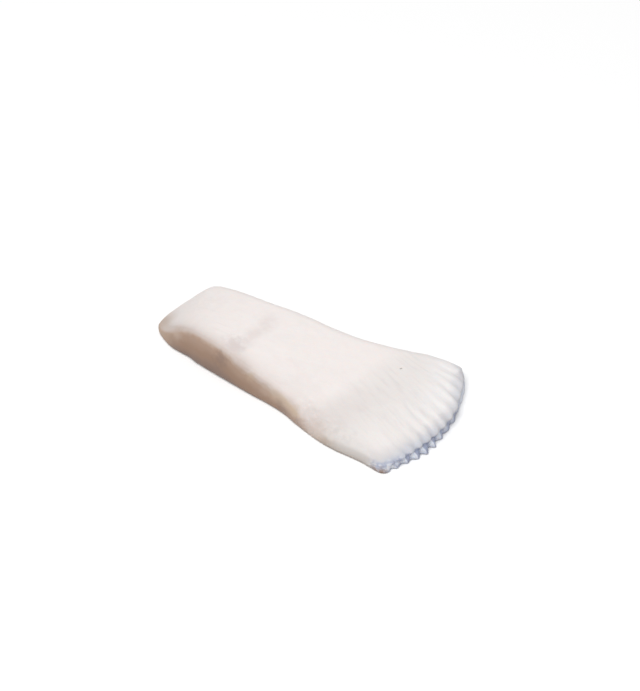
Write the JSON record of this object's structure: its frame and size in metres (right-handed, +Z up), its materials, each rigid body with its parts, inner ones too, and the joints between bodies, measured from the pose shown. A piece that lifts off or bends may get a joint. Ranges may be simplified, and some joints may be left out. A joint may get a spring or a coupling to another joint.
{
  "type": "frozen turbot fillet",
  "caption": "Boneless frozen turbot portion cut across the fish: thick white flesh at one end, thinning to a ribbed fan with a frilled blue-grey fin edge, lying flat.",
  "frame": {"origin": "on the flat underside, below the middle of the fillet's box", "axes": "+X from the thick end to the fin edge, +Y from the shown cut side to the hidden one, +Z up from the underside"},
  "size_m": [0.178, 0.0862, 0.0209],
  "materials": {
    "flesh": "matte frozen fish flesh, pinkish white on top, tan on the cut sides, blue-grey at the fin edge"
  },
  "bodies": {
    "root": {"fillet": "flesh"}
  },
  "joints": []
}
